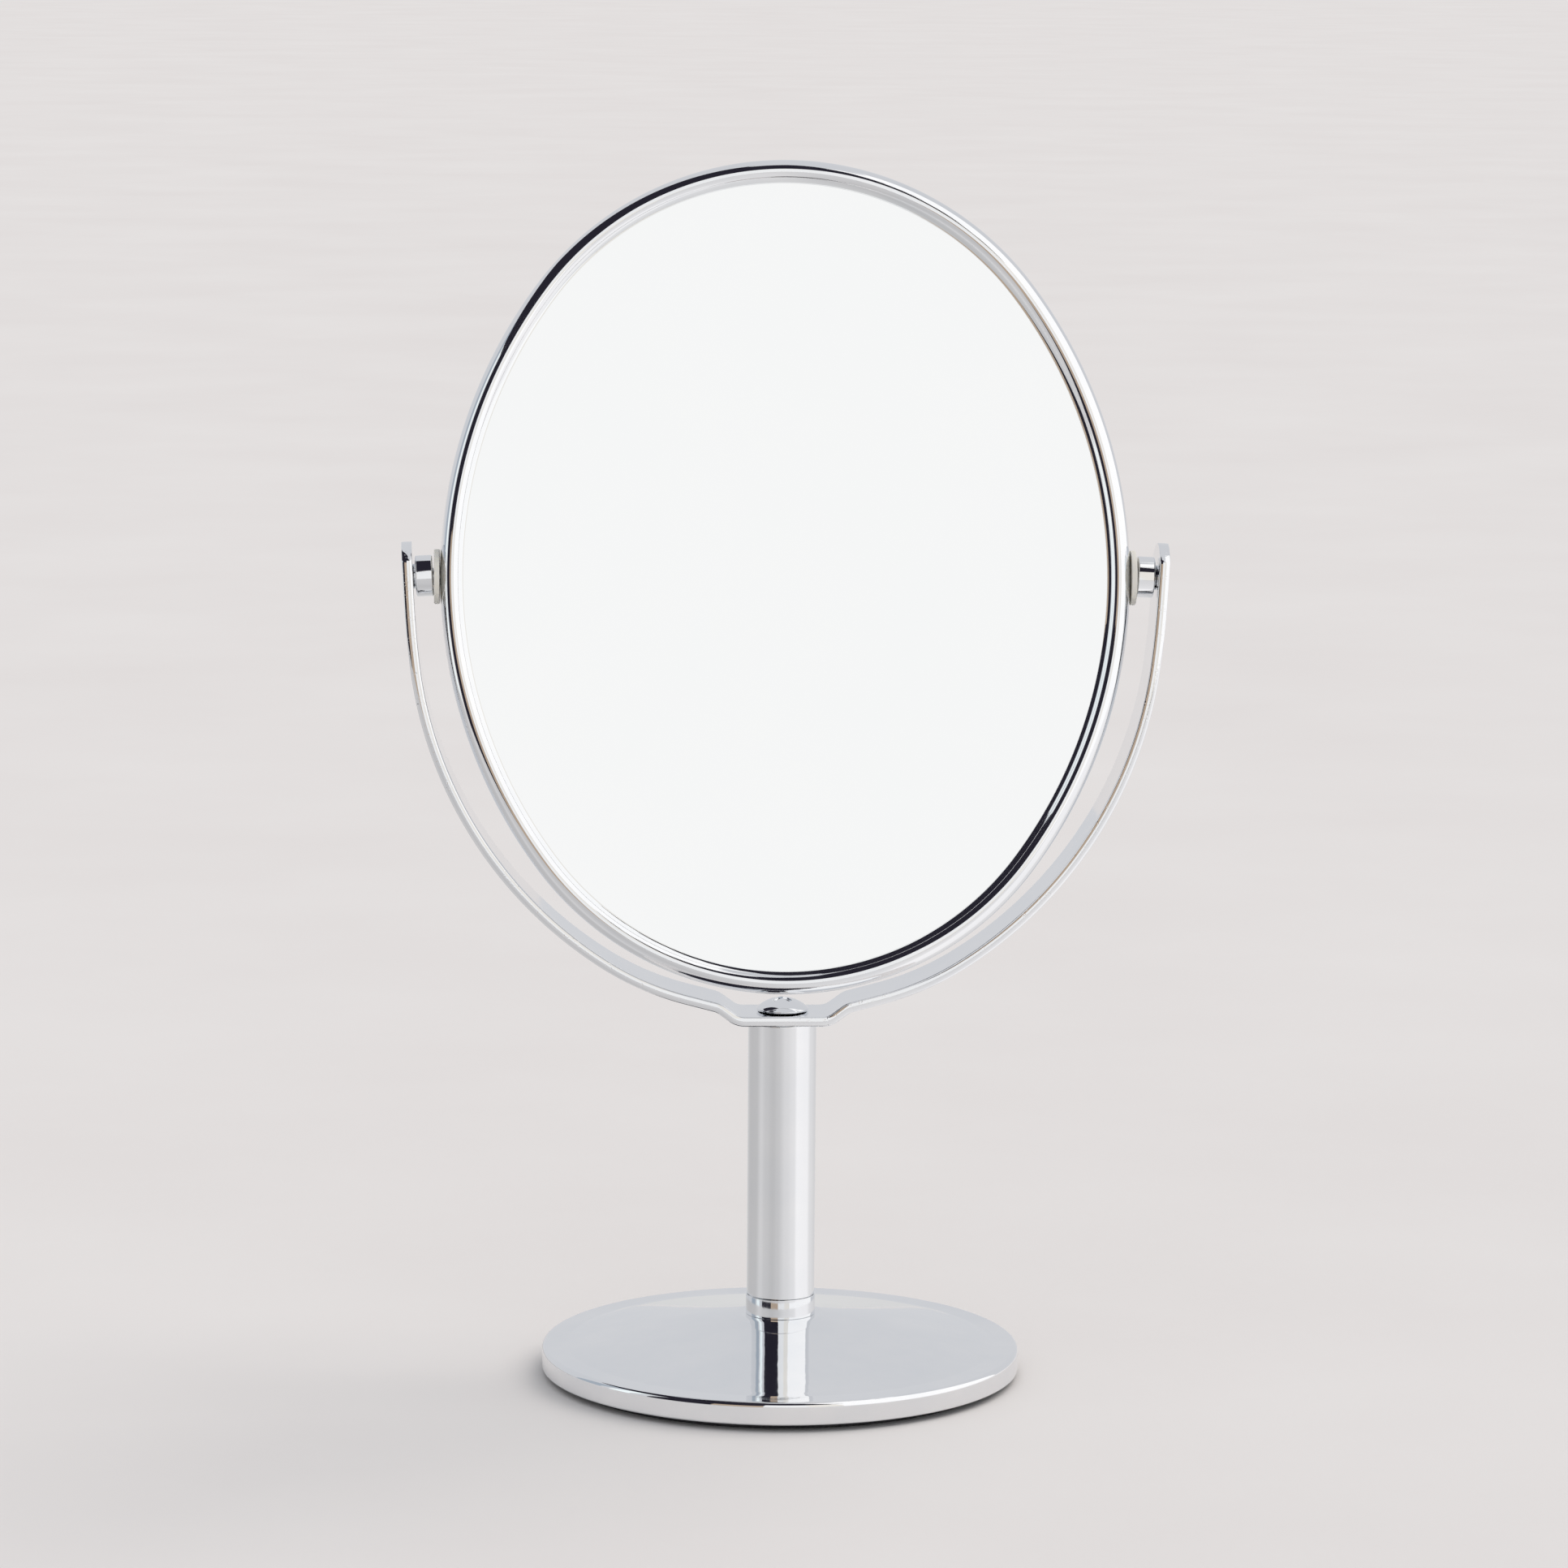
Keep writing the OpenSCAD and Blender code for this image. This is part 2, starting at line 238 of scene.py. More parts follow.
def new_material(name):
    """A material with its node tree, its shader and a helper that adds linked nodes."""
    material = bpy.data.materials.new(name)
    material.use_nodes = True
    tree = material.node_tree
    shader = tree.nodes["Principled BSDF"]
    coords = tree.nodes.new("ShaderNodeTexCoord")

    def node(kind, inputs=(), **settings):
        made = tree.nodes.new(kind)
        for key, value in settings.items():
            setattr(made, key, value)
        for key, value in dict(inputs).items():
            if isinstance(value, bpy.types.NodeSocket):
                tree.links.new(value, made.inputs[key])
            else:
                made.inputs[key].default_value = value
        return made

    return material, tree, shader, coords.outputs["Object"], node


def noise(node, coords, scale, detail=4.0, roughness=0.55):
    return node("ShaderNodeTexNoise", {"Vector": coords, "Scale": scale, "Detail": detail,
                                       "Roughness": roughness}).outputs["Fac"]


def mapped(node, value, low_in, high_in, low_out, high_out):
    return node("ShaderNodeMapRange", {"Value": value, "From Min": low_in, "From Max": high_in,
                                       "To Min": low_out, "To Max": high_out}).outputs["Result"]


def mixed_color(node, factor, a, b):
    mix = node("ShaderNodeMix", {"Factor": factor}, data_type="RGBA")
    mix.inputs[6].default_value = (*a, 1)
    mix.inputs[7].default_value = (*b, 1)
    return mix.outputs[2]


def bump(node, height, strength, distance):
    return node("ShaderNodeBump", {"Height": height, "Strength": strength,
                                   "Distance": distance}).outputs["Normal"]


def chrome(name, ripple=0.02, pitting=0.0):
    """Bright plating: a little orange peel, faint wipe marks and, where it is worn, fine pits."""
    material, tree, shader, at, node = new_material(name)
    shader.inputs["Metallic"].default_value = 1
    smears = noise(node, at, 60, 6)
    tint = mapped(node, smears, 0.35, 0.7, 0, 1)
    tree.links.new(mixed_color(node, tint, (0.84, 0.855, 0.875), (0.885, 0.89, 0.90)),
                   shader.inputs["Base Color"])
    stretched = node("ShaderNodeMapping", {"Vector": at, "Scale": (3.0, 3.0, 0.25)}).outputs[0]
    wipes = noise(node, stretched, 900, 3, 0.7)
    tree.links.new(mapped(node, wipes, 0.45, 0.8, 0.035, 0.085), shader.inputs["Roughness"])
    peel = noise(node, at, 130, 2)
    normal = bump(node, peel, ripple, 0.0004)
    if pitting:
        pits = node("ShaderNodeTexVoronoi", {"Vector": at, "Scale": 1500.0}).outputs["Distance"]
        hollows = mapped(node, pits, 0.0, 0.35, 0, 1)
        where = mapped(node, noise(node, at, 240, 3), 0.5, 0.62, 0, pitting)
        inverted = node("ShaderNodeMath", {0: 1.0, 1: where}, operation="SUBTRACT").outputs[0]
        depth = node("ShaderNodeMath", {0: hollows, 1: inverted}, operation="MAXIMUM").outputs[0]
        normal = node("ShaderNodeBump", {"Height": depth, "Strength": 0.5, "Distance": 0.00006,
                                         "Normal": normal}).outputs["Normal"]
    tree.links.new(normal, shader.inputs["Normal"])
    return material


def silvered_glass():
    """The face of a mirror: nearly perfect, with the faintest film on it."""
    material, tree, shader, at, node = new_material("mirror_glass")
    shader.inputs["Metallic"].default_value = 1
    film = noise(node, at, 25, 5)
    tree.links.new(mixed_color(node, mapped(node, film, 0.3, 0.7, 0, 1), (0.955, 0.965, 0.965),
                               (0.965, 0.97, 0.97)), shader.inputs["Base Color"])
    tree.links.new(mapped(node, film, 0.45, 0.75, 0.0, 0.012), shader.inputs["Roughness"])
    return material


def glass_edge():
    """The ground edge of the mirror glass."""
    material, tree, shader, at, node = new_material("glass_edge")
    grain = noise(node, at, 2500, 2)
    tree.links.new(mixed_color(node, grain, (0.30, 0.42, 0.38), (0.44, 0.55, 0.50)),
                   shader.inputs["Base Color"])
    tree.links.new(mapped(node, grain, 0.3, 0.7, 0.25, 0.5), shader.inputs["Roughness"])
    tree.links.new(bump(node, grain, 0.3, 0.0001), shader.inputs["Normal"])
    return material


def zinc():
    """Bright zinc plate over turned steel."""
    material, tree, shader, at, node = new_material("zinc_steel")
    shader.inputs["Metallic"].default_value = 1
    cloud = noise(node, at, 180, 4)
    tree.links.new(mixed_color(node, mapped(node, cloud, 0.3, 0.7, 0, 1), (0.56, 0.58, 0.62),
                               (0.66, 0.66, 0.64)), shader.inputs["Base Color"])
    tree.links.new(mapped(node, cloud, 0.3, 0.7, 0.22, 0.38), shader.inputs["Roughness"])
    tree.links.new(bump(node, noise(node, at, 2200, 2), 0.2, 0.0001), shader.inputs["Normal"])
    return material


def nylon(name, dark, light, glow):
    """Moulded or turned nylon, a little uneven; glow is how far light gets into it."""
    material, tree, shader, at, node = new_material(name)
    shader.inputs["Subsurface Weight"].default_value = glow
    shader.inputs["Subsurface Radius"].default_value = (1.0, 0.9, 0.7)
    shader.inputs["Subsurface Scale"].default_value = 0.0015
    cloud = noise(node, at, 350, 5)
    tree.links.new(mixed_color(node, mapped(node, cloud, 0.3, 0.7, 0, 1), dark, light),
                   shader.inputs["Base Color"])
    tree.links.new(mapped(node, cloud, 0.3, 0.7, 0.38, 0.55), shader.inputs["Roughness"])
    tree.links.new(bump(node, noise(node, at, 1800, 3), 0.25, 0.0001), shader.inputs["Normal"])
    return material


def foam_rubber(name, dark, light):
    """Closed-cell foam: matt, with small open cells."""
    material, tree, shader, at, node = new_material(name)
    cells = node("ShaderNodeTexVoronoi", {"Vector": at, "Scale": 1400.0}).outputs["Distance"]
    tree.links.new(mixed_color(node, mapped(node, cells, 0.1, 0.7, 0, 1), dark, light),
                   shader.inputs["Base Color"])
    tree.links.new(mapped(node, noise(node, at, 300, 4), 0.3, 0.7, 0.8, 0.95), shader.inputs["Roughness"])
    tree.links.new(bump(node, cells, 0.7, 0.0003), shader.inputs["Normal"])
    return material


def painted_iron():
    """Black paint over a sand casting."""
    material, tree, shader, at, node = new_material("painted_iron")
    sand = noise(node, at, 900, 5, 0.65)
    worn = mapped(node, noise(node, at, 90, 4), 0.4, 0.7, 0, 1)
    tree.links.new(mixed_color(node, worn, (0.030, 0.030, 0.032), (0.060, 0.055, 0.050)),
                   shader.inputs["Base Color"])
    tree.links.new(mapped(node, sand, 0.3, 0.7, 0.45, 0.7), shader.inputs["Roughness"])
    tree.links.new(bump(node, sand, 0.8, 0.0005), shader.inputs["Normal"])
    return material


def fibre_board():
    """Brown board with matted fibres."""
    material, tree, shader, at, node = new_material("fibre_board")
    long_way = node("ShaderNodeMapping", {"Vector": at, "Scale": (1.0, 1.0, 6.0)}).outputs[0]
    fibres = noise(node, long_way, 420, 6, 0.7)
    tree.links.new(mixed_color(node, mapped(node, fibres, 0.35, 0.65, 0, 1), (0.26, 0.18, 0.11),
                               (0.42, 0.32, 0.21)), shader.inputs["Base Color"])
    tree.links.new(mapped(node, fibres, 0.3, 0.7, 0.75, 0.92), shader.inputs["Roughness"])
    tree.links.new(bump(node, fibres, 0.5, 0.0002), shader.inputs["Normal"])
    return material


plated = chrome("bright_chrome")
plated_base = chrome("bright_chrome_base", ripple=0.06)
plated_strip = chrome("bright_chrome_strip", ripple=0.02, pitting=0.5)
silver = silvered_glass()
arris = glass_edge()
zinc_plate = zinc()
washer_nylon = nylon("nylon_washer", (0.79, 0.765, 0.69), (0.85, 0.83, 0.765), glow=0.2)
bush_nylon = nylon("nylon_bush", (0.72, 0.71, 0.66), (0.80, 0.79, 0.74), glow=0.1)
pad_rubber = foam_rubber("pad_rubber", (0.018, 0.018, 0.020), (0.050, 0.050, 0.055))
packing = foam_rubber("packing_foam", (0.05, 0.05, 0.055), (0.11, 0.11, 0.12))
iron = painted_iron()
board = fibre_board()


# ---- base ----

cone_r = base_r - SHOULDER_R - BORDER_W


def cone_height(r):
    """Height of the shallow cone's top at radius r."""
    rise = foot_z - RIM_TOP - CONE_STEP
    t = (cone_r - r) / (cone_r - HUB_R)
    return RIM_TOP + CONE_STEP + rise * (0.92 * t + 0.08 * t ** 3)


def base_shell():
    """The cover: a straight rim, a rounded shoulder, a plain border and the cone up to the stem."""
    turn_in = 0.5 * MM
    outside = arc(base_r - turn_in, rim_gap + turn_in, turn_in, -90, 0, 6)
    outside += arc(base_r - SHOULDER_R, RIM_TOP - SHOULDER_R, SHOULDER_R, 0, 90, 16)
    outside += [(cone_r + 1.2 * MM, RIM_TOP), (cone_r + 0.6 * MM, RIM_TOP + 0.03 * MM)]
    rings = 60
    for i in range(1, rings + 1):
        r = cone_r + (HUB_R - cone_r) * i / rings
        outside.append((r, cone_height(r)))
    outside += [(HUB_R - 0.5 * MM, foot_z), (ROOT_HOLE, foot_z)]
    t = SHELL_T
    inside = [(ROOT_HOLE, foot_z - t), (HUB_R, foot_z - t), (cone_r, RIM_TOP - t + CONE_STEP)]
    inside += [(base_r - SHOULDER_R, RIM_TOP - t), (base_r - t, RIM_TOP - SHOULDER_R), (base_r - t, rim_gap)]
    lathe("base_cover", outside + inside, plated_base, "base", 256, stands_for=["base_shell"],
          slot="bright_chrome")


def base_pad():
    """The foam pad under the base, with a soft lower edge and a hole for the bolt."""
    profile = fillet([(BOLT_HOLE, 0, 0.3 * MM), (pad_r, 0, 0.7 * MM), (pad_r, pad_top, 0.1 * MM),
                      (BOLT_HOLE, pad_top, 0.1 * MM)])
    lathe("foam_pad", profile, pad_rubber, "base", stands_for=["base_pad"], slot="pad_rubber")


# ---- stem ----

def stem():
    """Collar and telescopic tubes; the screw that holds the yoke is made on its own."""
    profile = fillet([(post_r, foot_z, 0), (collar_r, foot_z, 0.15 * MM), (collar_r, collar_top, 0.12 * MM),
                      (post_r, collar_top, 0)])
    lathe("collar", profile, plated, "base", stands_for=["foot_collar"], slot="bright_chrome")
    bore = tube_r - TUBE_WALL
    lip_r = post_r + 0.25 * MM
    profile = fillet([(lip_r, tube_z, 0.1 * MM), (tube_r, tube_z, 0.12 * MM), (tube_r, tube_top, 0.2 * MM),
                      (bore, tube_top, 0.1 * MM), (bore, tube_z + LIP_T, 0), (lip_r, tube_z + LIP_T, 0)])
    lathe("stem_tube", profile, plated, "stem", stands_for=["outer_tube"], slot="bright_chrome")
    inner = post_r - TUBE_WALL
    profile = fillet([(inner, foot_z, 0), (post_r, foot_z, 0), (post_r, post_top, 0.3 * MM),
                      (inner, post_top, 0.2 * MM)])
    lathe("post_tube", profile, plated, "base", stands_for=["inner_tube"], slot="bright_chrome")


def recess_depth(x, y):
    """Depth of the cross recess in the screw's head: two crossed slots with sloping sides and ends."""
    turn = math.radians(38)
    deep = 1.5 * MM
    half_w, side_slope = 0.45 * MM, 0.3 * MM
    half_l, end_slope = 1.5 * MM, 1.4 * MM
    u = x * math.cos(turn) + y * math.sin(turn)
    v = -x * math.sin(turn) + y * math.cos(turn)
    deepest = 0.0
    for along, across in ((u, v), (v, u)):
        side = 1 - min(1.0, max(0.0, (abs(across) - half_w) / side_slope))
        end = 1 - min(1.0, max(0.0, (abs(along) - half_l) / end_slope))
        deepest = max(deepest, side * end)
    return deep * deepest


def yoke_screw():
    """Domed head with a short undercut rim and a cross recess, on a plain shank."""
    rings, segments = 64, 160
    seat = yoke_flat
    edge_h, undercut, chamfer = 0.75 * MM, 0.32 * MM, 0.4 * MM
    rise = screw_top - seat - edge_h
    dome_r = (screw_r ** 2 + rise ** 2) / (2 * rise)
    top = []
    for i in range(rings, 0, -1):
        r = (screw_r - 0.25 * MM) * i / rings
        top.append((r, seat + edge_h + math.sqrt(dome_r ** 2 - r ** 2) - dome_r + rise))
    side = [(SCREW_SHANK, screw_low + chamfer), (SCREW_SHANK, seat), (screw_r - undercut, seat),
            (screw_r - 0.03 * MM, seat + edge_h - 0.14 * MM), (screw_r, seat + edge_h - 0.08 * MM),
            (screw_r - 0.06 * MM, seat + edge_h)]
    profile = [(0, screw_low), (SCREW_SHANK - chamfer, screw_low)] + side + top + [(0, screw_top)]
    obj = lathe("domed_screw", profile, plated, "stem", segments, closed=False, stands_for=["yoke_screw"],
                slot="bright_chrome")
    for v in obj.data.vertices:
        if v.co.z > seat + edge_h:
            v.co.z -= recess_depth(v.co.x, v.co.y)


# ---- yoke ----

def yoke_path():
    """Points (x, z, heading) of the right half of the yoke's centre line."""
    straight_step, turn_step = 1.5, 1.0     # millimetres, degrees
    half_turn = []
    for radius, amount in YOKE_BENDS:
        if radius == 0:
            parts = max(1, round(amount / straight_step))
            half_turn += [(amount / parts, 0.0)] * parts
        else:
            parts = max(2, math.ceil(abs(amount) / turn_step))
            turn = math.radians(amount) / parts
            half_turn += [(2 * radius * math.sin(abs(turn) / 2), turn)] * parts
    x, z, heading = 0.0, 0.0, 0.0
    path = [(0.0, yoke_mid, 0.0)]
    for length, turn in half_turn:
        middle = heading + turn / 2
        x += length * MM * math.cos(middle)
        z += length * MM * math.sin(middle)
        heading += turn
        path.append((x, yoke_mid + z, heading))
    return path


pivot_x = yoke_path()[-1][0]


def strip_edge():
    """A long edge of the strip, crowned between two small corners, as (depth below the crown, height)."""
    crown_r, corner_r = 2.4 * MM, 0.45 * MM
    half_t = STRIP_T / 2
    turn = math.asin((half_t - corner_r) / (crown_r - corner_r))
    corner_y = (crown_r - corner_r) * math.cos(turn)
    limit = math.degrees(turn)
    points = arc(corner_y, half_t - corner_r, corner_r, 90, limit, 8)
    points += arc(0, 0, crown_r, limit, -limit, 16)[1:-1]
    points += arc(corner_y, corner_r - half_t, corner_r, -limit, -90, 8)
    return [(crown_r - y, up) for y, up in points]


def yoke():
    """The bent strip: crowned long edges, rounded tips."""
    path = yoke_path()
    end_x, end_z, heading = path[-1]
    tip = (yoke_top - end_z) / math.sin(heading)
    half_w = strip_w / 2
    straight_share = 0.58           # of the tip's length, before it rounds off
    shoulder = tip * straight_share
    tip_r = (half_w ** 2 + (tip - shoulder) ** 2) / (2 * (tip - shoulder))
    widths = [half_w] * len(path)
    for i in range(1, 6):
        along = shoulder * i / 5
        path.append((end_x + along * math.cos(heading), end_z + along * math.sin(heading), heading))
        widths.append(half_w)
    slope = math.asin(half_w / tip_r)
    steps = 40
    for i in range(1, steps):
        a = slope * math.cos(math.pi / 2 * i / steps)
        along = tip - tip_r * (1 - math.cos(a))
        path.append((end_x + along * math.cos(heading), end_z + along * math.sin(heading), heading))
        widths.append(tip_r * math.sin(a))
    whole = [(-x, z, -h) for x, z, h in reversed(path[1:])] + path
    half_widths = list(reversed(widths[1:])) + widths
    edge = strip_edge()
    depth = edge[0][0]
    verts = []
    for (x, z, h), half in zip(whole, half_widths):
        squeeze = min(1.0, half / depth)
        for side in (1, -1):
            for inset, up in edge:
                y, lift = side * (half - inset * squeeze), side * up
                verts.append((x - lift * math.sin(h), y, z + lift * math.cos(h)))
    count = 2 * len(edge)
    faces = grid_faces(len(whole), count, False)
    faces.append(tuple(range(count)))
    faces.append(tuple(range(len(verts) - count, len(verts))))
    obj = piece("yoke_strip", verts, faces, plated_strip, "stem", stands_for=["yoke"],
                slot="bright_chrome")
    outward(obj)


# ---- pivots ----

def about_x(side, at_x, tilt=0.0):
    """Places a part turned about +Z so that its axis lies outwards along the tilt axis."""
    turn = Matrix.Rotation(math.radians(90) + tilt, 4, "Y")
    place = Matrix.Translation((at_x, 0, pivot_z)) @ turn
    return place if side > 0 else Matrix.Scale(-1, 4, (1, 0, 0)) @ place


def pivots(side):
    """Barrel and washer on one side; the barrel's foot is riveted into the arm, flush behind."""
    name = "right" if side > 0 else "left"
    inner_face = -STRIP_T / 2
    head_end = inner_face - NECK_L
    foot = head_end - BARREL_L
    rivet_end = STRIP_T / 2 - 0.02 * MM
    centre_hole = 0.4 * MM
    profile = fillet([(PIVOT_BORE, foot, 0.1 * MM), (BARREL_R, foot, 0.35 * MM),
                      (BARREL_R, head_end, 0.35 * MM), (NECK_R, head_end, 0.1 * MM),
                      (NECK_R, inner_face, 0), (SHANK_R, inner_face, 0),
                      (SHANK_R, rivet_end, 0.2 * MM), (centre_hole, rivet_end, 0),
                      (centre_hole, head_end - 0.2 * MM, 0), (PIVOT_BORE, head_end - 0.4 * MM, 0)])
    lathe(f"{name}_barrel", profile, plated, "stem", 128, stands_for=[f"{name}_pivot_barrel"],
          slot="bright_chrome", place=about_x(side, pivot_x, ARM_LEAN))
    thick = washer_x[1] - washer_x[0]
    profile = fillet([(PIVOT_BORE, 0, 0.1 * MM), (washer_r, 0, 0.2 * MM), (washer_r, thick, 0.2 * MM),
                      (PIVOT_BORE, thick, 0.1 * MM)])
    lathe(f"{name}_washer", profile, washer_nylon, "stem", 128, stands_for=[f"{name}_pivot_washer"],
          slot="nylon", place=about_x(side, washer_x[0]))


# ---- mirror head ----

def oval(steps_side=70, steps_end=100):
    """Stations of the four-centre oval: (centre, radius, angle), struck from a 3-4-5 triangle."""
    k = (OVAL_B - oval_a) / 2
    join = math.degrees(math.atan2(3, 4))
    arcs = [((-4 * k, 0), oval_a + 4 * k, -join, join, steps_side),
            ((0, 3 * k), OVAL_B - 3 * k, join, 180 - join, steps_end),
            ((4 * k, 0), oval_a + 4 * k, 180 - join, 180 + join, steps_side),
            ((0, -3 * k), OVAL_B - 3 * k, 180 + join, 360 - join, steps_end)]
    stations = []
    for centre, radius, a0, a1, steps in arcs:
        for i in range(steps):
            stations.append((centre, radius, math.radians(a0 + (a1 - a0) * i / steps)))
    return stations


STATIONS = oval()
head_place = Matrix.Translation((0, 0, pivot_z)) @ Matrix.Rotation(-LEAN, 4, "X")


def head_point(station, rho, y):
    (cx, cz), radius, a = station
    return (cx + (radius + rho) * math.cos(a), y, cz + (radius + rho) * math.sin(a))


def frame_ring():
    """The channel: a narrow band outside, and tall half-oval beads in front and behind."""
    half_w = BEAD_W / 2
    bead_y = FRAME_D / 2 - BEAD_H
    room = (BEAD_W - WALL - CREST_WALL) / 2     # radius of the hollow inside a bead
    room_y = 3.6 * MM
    lip = GLASS_Y + 0.05 * MM                   # just clear of the glass
    last = 180 - math.degrees(math.asin((lip + 0.15 * MM - bead_y) / BEAD_H))
    outer = [(rho * half_w - half_w, y * BEAD_H + bead_y) for rho, y in arc(0, 0, 1, 0, last, 64)]
    inner = [(-BEAD_W + 0.2 * MM, lip), (-BEAD_W + WALL, lip)]
    inner += arc(-CREST_WALL - room, room_y, room, 180, 0, 12)
    front = outer + inner
    section = front + [(rho, -y) for rho, y in reversed(front)]
    verts = [head_point(s, rho, y) for s in STATIONS for rho, y in section]
    faces = grid_faces(len(STATIONS), len(section), True)
    obj = piece("frame_channel", verts, faces, plated, "mirror_head", stands_for=["frame_ring"],
                slot="bright_chrome", place=head_place)
    outward(obj)


def mirror(name, facing):
    """A pane: a flat silvered face with a ground arris round it."""
    bevel = 0.25 * MM
    rings = [(GLASS_EDGE, BOARD_Y), (GLASS_EDGE, GLASS_Y - bevel), (GLASS_EDGE - bevel, GLASS_Y)]
    verts = [head_point(s, rho, facing * y) for rho, y in rings for s in STATIONS]
    count = len(STATIONS)
    faces = grid_faces(len(rings), count, False)
    faces.append(tuple(range(count)))
    faces.append(tuple(range(len(verts) - count, len(verts))))
    obj = piece(f"{name}_pane", verts, faces, [silver, arris], "mirror_head", stands_for=[f"{name}_mirror"],
                slot="mirror_glass", place=head_place)
    for polygon in obj.data.polygons[:2 * count]:
        polygon.material_index = 1
    for polygon in obj.data.polygons:
        polygon.use_smooth = False
    outward(obj)


# ---- stage ----

CARD_DISTANCE = 0.9


def emission(name, color, strength):
    """A material that only gives off light."""
    material = bpy.data.materials.new(name)
    material.use_nodes = True
    tree = material.node_tree
    tree.nodes.clear()
    light = tree.nodes.new("ShaderNodeEmission")
    light.inputs["Color"].default_value = (*color, 1)
    light.inputs["Strength"].default_value = strength
    out = tree.nodes.new("ShaderNodeOutputMaterial")
    tree.links.new(light.outputs[0], out.inputs["Surface"])
    return material


def reflected(name, verts, faces, material):
    """A stage surface that is seen only in reflections."""
    mesh = bpy.data.meshes.new(name)
    mesh.from_pydata([tuple(v) for v in verts], [], faces)
    mesh.materials.append(material)
    obj = bpy.data.objects.new(name, mesh)
    bpy.context.scene.collection.objects.link(obj)
    obj.visible_camera = False
    obj.visible_diffuse = False
    obj.visible_shadow = False


def card(name, azimuth, elevations, color, strength):
    """A curved studio card: azimuth is a range in degrees from the front (-Y) towards +X, and it reaches
    between two elevations seen from the middle of the object."""
    eye = Vector((0, 0, 0.15))
    columns, rows = 24, 12
    verts = []
    for i in range(columns + 1):
        a = math.radians(azimuth[0] + (azimuth[1] - azimuth[0]) * i / columns)
        for j in range(rows + 1):
            e = math.radians(elevations[0] + (elevations[1] - elevations[0]) * j / rows)
            away = Vector((math.sin(a) * math.cos(e), -math.cos(a) * math.cos(e), math.sin(e)))
            verts.append(eye + away * CARD_DISTANCE)
    reflected(name, verts, grid_faces(columns + 1, rows + 1, False, False), emission(name, color, strength))


def cards():
    """The window on the right, the pale room in front, and the dark and tan parts to the left and above."""
    white = (1.0, 1.0, 1.0)
    black = (0.022, 0.020, 0.030)
    card("window", (27, 118), (-9.5, 75), (1.0, 0.99, 0.985), 1.14)
    card("cream_card", (11, 27), (-8.9, 36), (1.0, 0.96, 0.90), 0.92)
    card("front_card", (-10, 11), (-8.9, 36), white, 0.955)
    card("table_edge", (-10, 27), (-9.5, -8.9), (0.16, 0.14, 0.13), 1.0)
    card("tan_card", (-34, -10), (-9.5, 17), (0.60, 0.47, 0.36), 0.85)
    card("dark_front", (-34, -10), (17, 36), black, 1.0)
    card("dark_left", (-66, -34), (-9.5, 36), black, 1.0)
    card("dark_top", (-135, 34), (36, 86), black, 1.0)
    card("glint", (-88, -76), (-9.5, 38), (0.93, 1.0, 1.0), 1.1)
    card("left_card", (-112, -94), (-9.5, 38), (0.42, 0.47, 0.53), 1.0)


def table_sheen():
    """A painted reflection of the table's polish, which the stem and the arms see: a glowing ring with soft
    tones by azimuth, just above the matt table. The gradient is turned so that its middle lies towards -Y."""
    # tones of the painted reflection in the table, by azimuth in degrees from the front
    tones = [(-180, 0.72), (-128, 0.55), (-96, 0.56), (-74, 0.69), (-56, 0.62), (-30, 0.57), (-14, 0.62),
             (12, 0.76), (40, 0.84), (52, 1.0), (92, 0.98), (112, 0.80), (150, 0.70), (180, 0.72)]
    inner, above_floor, around = 1.45 * base_r, 0.5 * MM, 96
    verts = []
    for r in (inner, CARD_DISTANCE):
        for k in range(around):
            a = 2 * math.pi * k / around
            verts.append((r * math.sin(a), -r * math.cos(a), above_floor))
    material = emission("table_sheen", (1, 1, 1), 1.0)
    tree = material.node_tree
    coords = tree.nodes.new("ShaderNodeTexCoord")
    turned = tree.nodes.new("ShaderNodeMapping")
    turned.inputs["Rotation"].default_value = (0, 0, math.pi / 2)
    gradient = tree.nodes.new("ShaderNodeTexGradient")
    gradient.gradient_type = "RADIAL"
    ramp = tree.nodes.new("ShaderNodeValToRGB")
    ramp.color_ramp.interpolation = "EASE"
    for azimuth, tone in tones[1:-1]:
        stop = ramp.color_ramp.elements.new(0.5 + azimuth / 360)
        stop.color = (tone * 1.02, tone * 1.005, tone * 1.01, 1)
    for end in (0, -1):
        ramp.color_ramp.elements[end].color = (tones[end][1],) * 3 + (1,)
    tree.links.new(coords.outputs["Object"], turned.inputs["Vector"])
    tree.links.new(turned.outputs[0], gradient.inputs["Vector"])
    tree.links.new(gradient.outputs["Fac"], ramp.inputs["Fac"])
    tree.links.new(ramp.outputs["Color"], tree.nodes["Emission"].inputs["Color"])
    reflected("table_sheen", verts, grid_faces(2, around, False), material)


def floor():
    """A plain pale table top, matt to the camera."""
    mesh = bpy.data.meshes.new("floor")
    half = 60.0
    corners = [(-half, -half, 0), (half, -half, 0), (half, half, 0), (-half, half, 0)]
    mesh.from_pydata(corners, [], [(0, 1, 2, 3)])
    obj = bpy.data.objects.new("floor", mesh)
    bpy.context.scene.collection.objects.link(obj)
    material, tree, shader, at, node = new_material("pale_top")
    cloud = noise(node, at, 6, 5)
    tree.links.new(mixed_color(node, mapped(node, cloud, 0.3, 0.7, 0, 1), (0.775, 0.755, 0.745),
                               (0.80, 0.785, 0.775)), shader.inputs["Base Color"])
    shader.inputs["Specular IOR Level"].default_value = 0
    mesh.materials.append(material)


def world():
    """An even pale surround."""
    studio = bpy.data.worlds.new("studio")
    bpy.context.scene.world = studio
    studio.use_nodes = True
    background = studio.node_tree.nodes["Background"]
    background.inputs["Color"].default_value = (0.675, 0.684, 0.71, 1)
    background.inputs["Strength"].default_value = 1.0


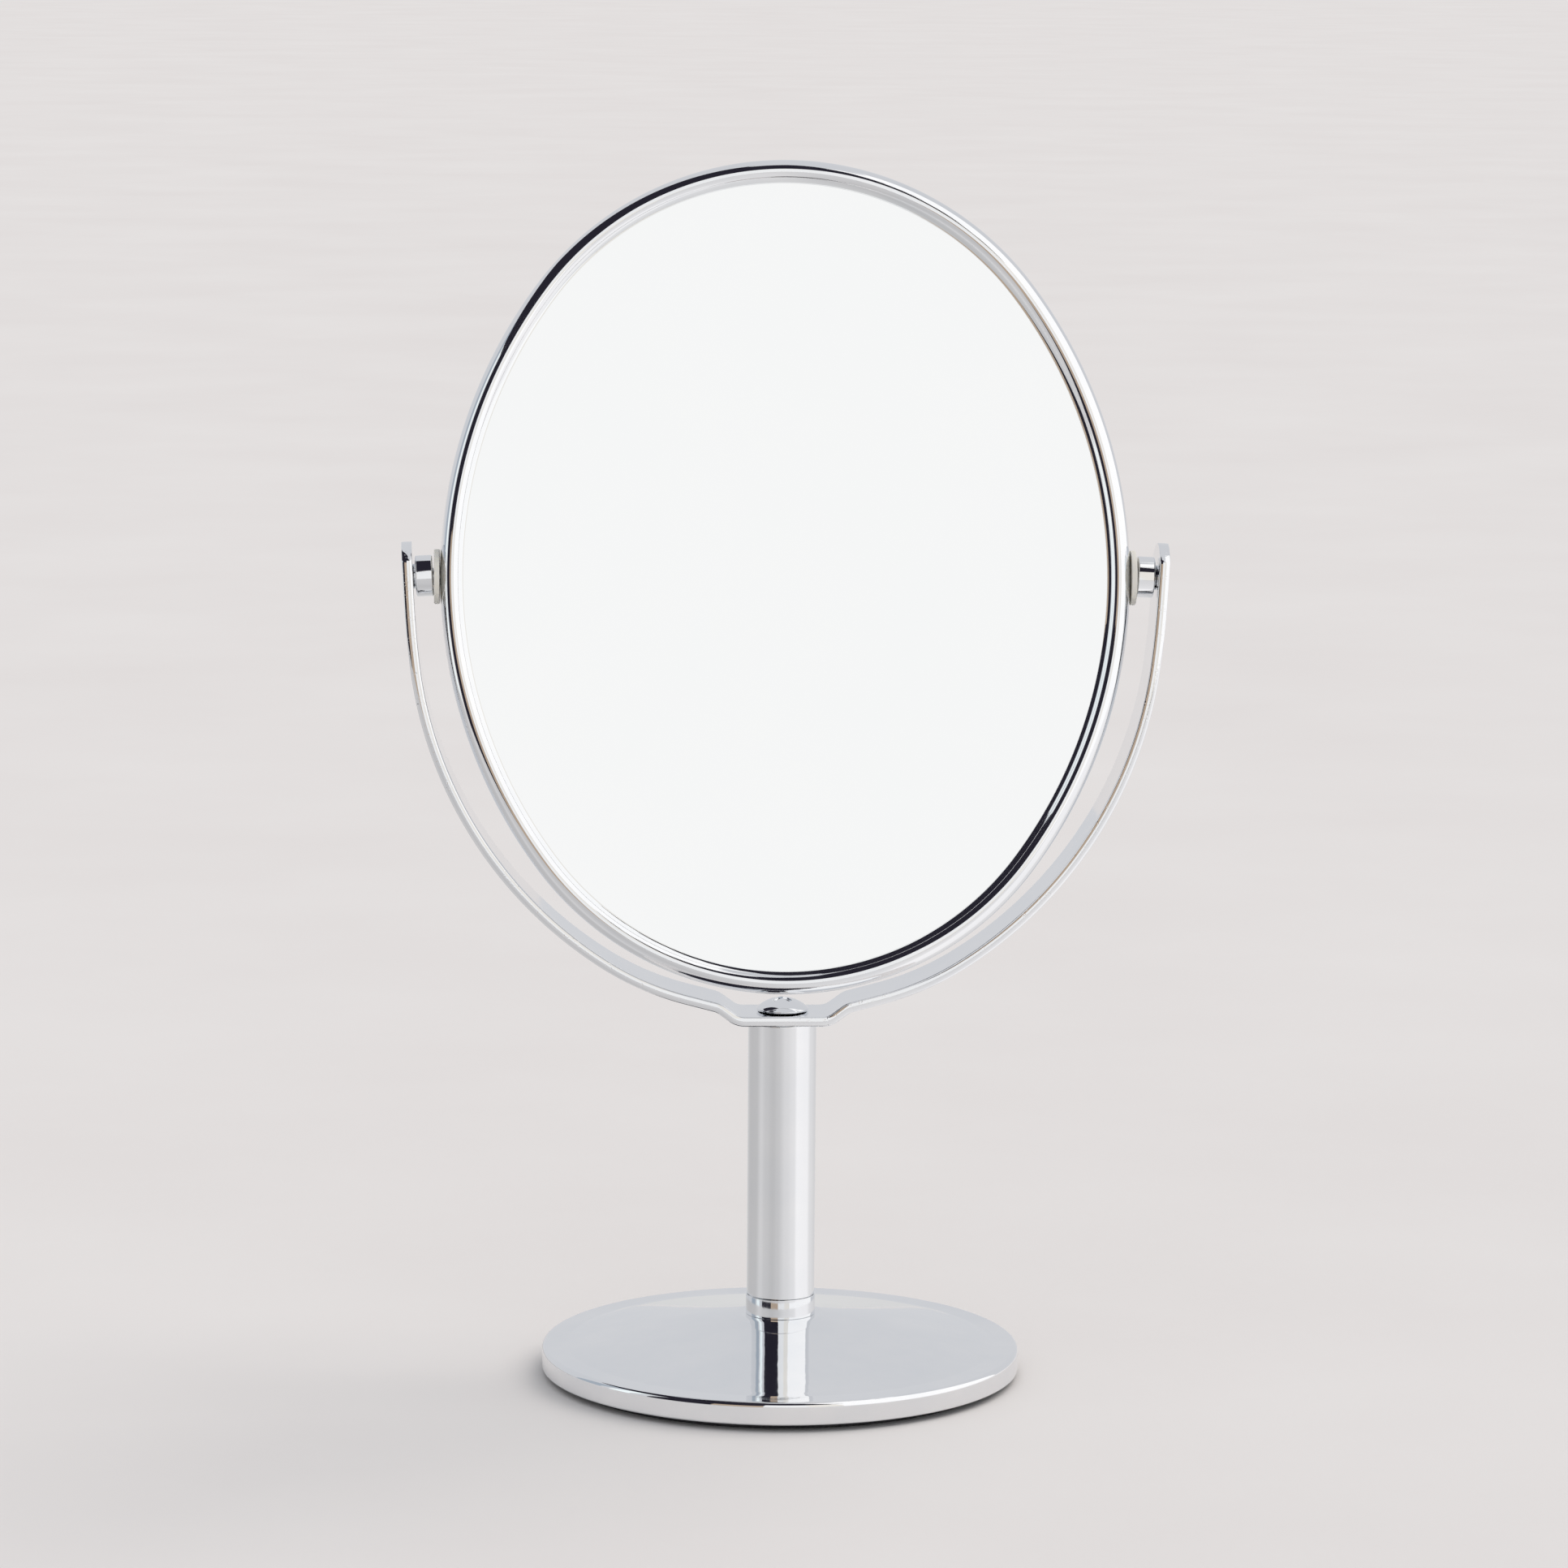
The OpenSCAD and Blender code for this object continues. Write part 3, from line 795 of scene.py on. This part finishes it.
def sun():
    """Broad soft light from the right and behind. It lights the table and isn't seen in the chrome."""
    light = bpy.data.lights.new("soft_light", "SUN")
    light.energy = 1.2
    light.color = (1.0, 0.92, 0.85)
    light.angle = math.radians(50)
    obj = bpy.data.objects.new("soft_light", light)
    bpy.context.scene.collection.objects.link(obj)
    obj.rotation_mode = "QUATERNION"
    obj.rotation_quaternion = Vector((1.0, 0.5, 1.4)).to_track_quat("Z", "Y")
    obj.visible_glossy = False


def camera():
    """A little to the left of the front and higher than the mirror, looking down, with a slight roll."""
    distance, azimuth, height = 1.4, math.radians(-2.5), 0.3601
    pitch, roll = math.radians(8.9), math.radians(0.41)
    data = bpy.data.cameras.new("camera")
    data.sensor_width = 36
    data.lens = 139.36
    data.clip_start = 0.01
    data.clip_end = 200
    obj = bpy.data.objects.new("camera", data)
    bpy.context.scene.collection.objects.link(obj)
    obj.location = (math.sin(azimuth) * distance, -math.cos(azimuth) * distance, height)
    aim = Matrix.Rotation(azimuth, 4, "Z") @ Matrix.Rotation(math.radians(90) - pitch, 4, "X")
    obj.matrix_world = Matrix.Translation(obj.location) @ aim @ Matrix.Rotation(roll, 4, "Z")
    bpy.context.scene.camera = obj


# ---- put together ----

base_shell()
base_pad()
stem()
yoke_screw()
yoke()
for side in (-1, 1):
    pivots(side)
frame_ring()
mirror("front", -1)
mirror("rear", 1)

NODE_LOOKS = {
    "base_weight": iron, "base_bolt": zinc_plate, "base_lock_washer": zinc_plate, "foot_plug": zinc_plate,
    "friction_bush": bush_nylon, "guide_bush": bush_nylon, "stop_ring": zinc_plate, "top_plug": zinc_plate,
    "left_pivot_screw": zinc_plate, "right_pivot_screw": zinc_plate, "left_wave_washer": zinc_plate,
    "right_wave_washer": zinc_plate, "backing_board": board, "edge_packing": packing}
for node_name, look in NODE_LOOKS.items():
    shown = frame["nodes"][node_name]
    shown.data.materials.clear()
    shown.data.materials.append(look)

floor()
world()
camera()
bpy.context.scene.view_settings.view_transform = "Standard"
cards()
table_sheen()
sun()
